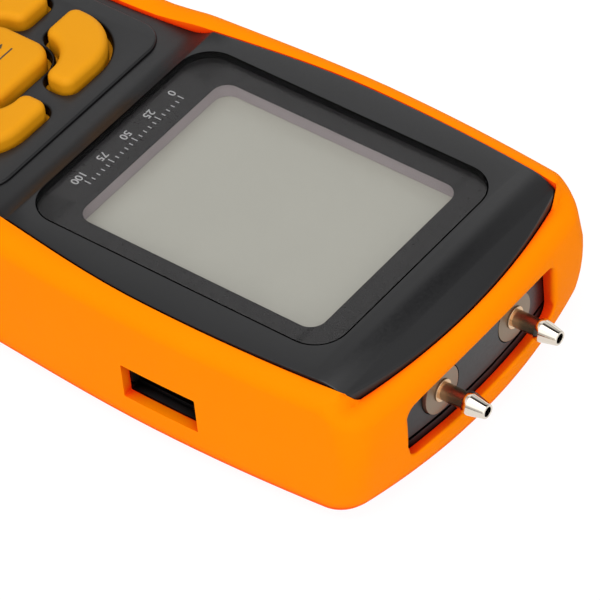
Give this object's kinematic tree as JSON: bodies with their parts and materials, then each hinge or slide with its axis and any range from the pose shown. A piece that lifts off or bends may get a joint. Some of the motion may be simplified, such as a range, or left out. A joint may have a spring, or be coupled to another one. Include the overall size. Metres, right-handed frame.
{
  "type": "digital manometer",
  "caption": "Handheld digital manometer in a soft orange boot, with a large display, raised keys, two nickel hose barbs and a hinged battery door.",
  "frame": {"origin": "centre of the outline's box at the plane the meter lies on", "axes": "+Y towards the hose barbs, +X towards the side window, +Z out of the face"},
  "size_m": [0.0778, 0.1699, 0.0334],
  "materials": {
    "boot": "satin soft-touch",
    "casing": "fine matte texture",
    "casing_back": "fine matte texture",
    "lens": "polished clear",
    "mask": "printed",
    "tape": "matt",
    "frame": "matt",
    "display": "satin",
    "light": "satin",
    "strip": "soft",
    "board": "lacquered",
    "chip": "matt",
    "screw": "plated",
    "sensor": "moulded",
    "tube": "translucent",
    "nickel": "warm bright plating",
    "nut": "machined",
    "seal": "soft",
    "socket": "stamped",
    "header": "moulded",
    "mat": "soft",
    "key": "satin moulded",
    "skirt": "soft",
    "pill": "matt",
    "cell": "satin sleeve",
    "contact": "plated",
    "wire_red": "insulated",
    "wire_black": "insulated",
    "foam": "foam"
  },
  "bodies": {
    "meter": {"protective_boot": "boot", "front_casing": "casing", "rear_casing": "casing_back", "case_screws": "screw", "display_lens": "lens", "lens_mask": "mask", "lens_tape": "tape", "lcd_frame": "frame", "lcd_glass": "display", "lcd_backlight": "light", "elastomer_strips": "strip", "main_board": "board", "board_screws": "screw", "microcontroller": "chip", "board_components": "chip", "pressure_sensor": "sensor", "sensor_tube_left": "tube", "sensor_tube_right": "tube", "hose_barb_left": "nickel", "hose_barb_right": "nickel", "barb_nuts": "nut", "barb_seals": "seal", "socket_board": "board", "usb_socket": "socket", "board_header": "header", "key_mat": "mat", "battery_springs": "contact", "battery_plates": "contact", "battery_wire_red": "wire_red", "battery_wire_black": "wire_black", "battery_1": "cell", "battery_2": "cell", "battery_3": "cell"},
    "door": {"battery_door": "casing_back", "door_pad": "foam"},
    "key_center": {"key_center": "key", "key_skirt_center": "skirt", "key_pill_center": "pill"},
    "key_upper_left": {"key_upper_left": "key", "key_skirt_upper_left": "skirt", "key_pill_upper_left": "pill"},
    "key_upper_right": {"key_upper_right": "key", "key_skirt_upper_right": "skirt", "key_pill_upper_right": "pill"},
    "key_lower_left": {"key_lower_left": "key", "key_skirt_lower_left": "skirt", "key_pill_lower_left": "pill"},
    "key_lower_right": {"key_lower_right": "key", "key_skirt_lower_right": "skirt", "key_pill_lower_right": "pill"},
    "key_power": {"key_power": "key", "key_skirt_power": "skirt", "key_pill_power": "pill"}
  },
  "joints": [
    {"name": "press_center", "type": "slide", "parent": "meter", "child": "key_center", "axis": [0, 0, -1], "range_m": [0, 0.0012], "stiffness_N_per_m": 1000, "springref_m": -0.0009, "deforming": ["key_skirt_center"]},
    {"name": "press_upper_left", "type": "slide", "parent": "meter", "child": "key_upper_left", "axis": [0, 0, -1], "range_m": [0, 0.0012], "stiffness_N_per_m": 1000, "springref_m": -0.0009, "deforming": ["key_skirt_upper_left"]},
    {"name": "press_upper_right", "type": "slide", "parent": "meter", "child": "key_upper_right", "axis": [0, 0, -1], "range_m": [0, 0.0012], "stiffness_N_per_m": 1000, "springref_m": -0.0009, "deforming": ["key_skirt_upper_right"]},
    {"name": "press_lower_left", "type": "slide", "parent": "meter", "child": "key_lower_left", "axis": [0, 0, -1], "range_m": [0, 0.0012], "stiffness_N_per_m": 1000, "springref_m": -0.0009, "deforming": ["key_skirt_lower_left"]},
    {"name": "press_lower_right", "type": "slide", "parent": "meter", "child": "key_lower_right", "axis": [0, 0, -1], "range_m": [0, 0.0012], "stiffness_N_per_m": 1000, "springref_m": -0.0009, "deforming": ["key_skirt_lower_right"]},
    {"name": "press_power", "type": "slide", "parent": "meter", "child": "key_power", "axis": [0, 0, -1], "range_m": [0, 0.0012], "stiffness_N_per_m": 1000, "springref_m": -0.0009, "deforming": ["key_skirt_power"]},
    {"name": "door_hinge", "type": "hinge", "parent": "meter", "child": "door", "pos_m": [0, -0.07145, 0.0035], "axis": [-1, 0, 0], "range_deg": [0, 75]}
  ]
}
